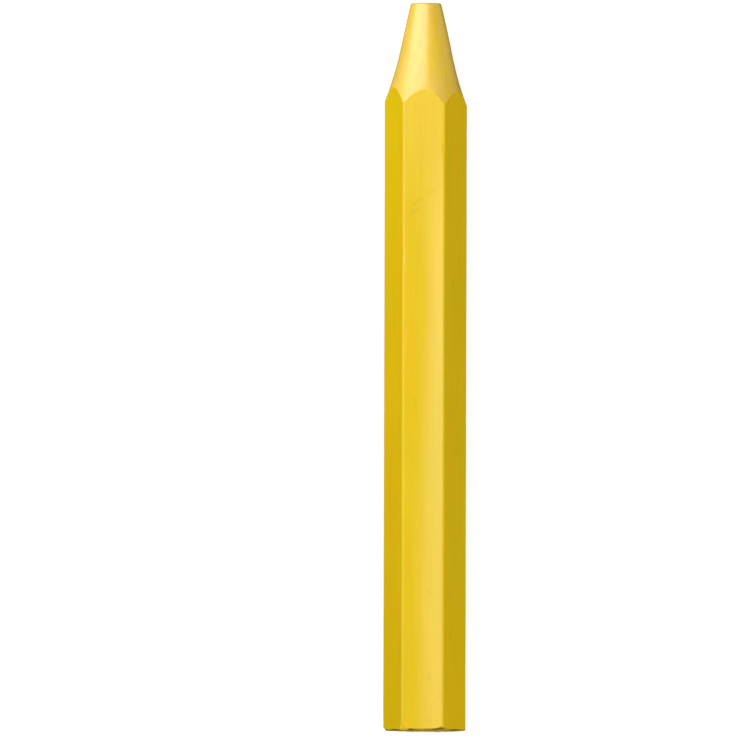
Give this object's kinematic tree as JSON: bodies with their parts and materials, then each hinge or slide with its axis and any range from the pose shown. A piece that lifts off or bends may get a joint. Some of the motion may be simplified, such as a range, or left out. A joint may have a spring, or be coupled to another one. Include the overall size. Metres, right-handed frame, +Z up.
{
  "type": "chalk stick",
  "caption": "Hexagonal stick of yellow marking chalk, sharpened to a blunt cone at the nose and cut square at the other end, for marking timber, stone or metal.",
  "frame": {"origin": "middle of the stick's footprint, half way along its length, on the surface that it lies on", "axes": "+Y along the stick towards the sharpened nose, +Z up and square to the flat that it lies on, +X across the stick from edge to edge"},
  "size_m": [0.013, 0.1142, 0.0113],
  "materials": {
    "chalk": "satin"
  },
  "bodies": {
    "root": {"chalk_stick": "chalk"}
  },
  "joints": []
}
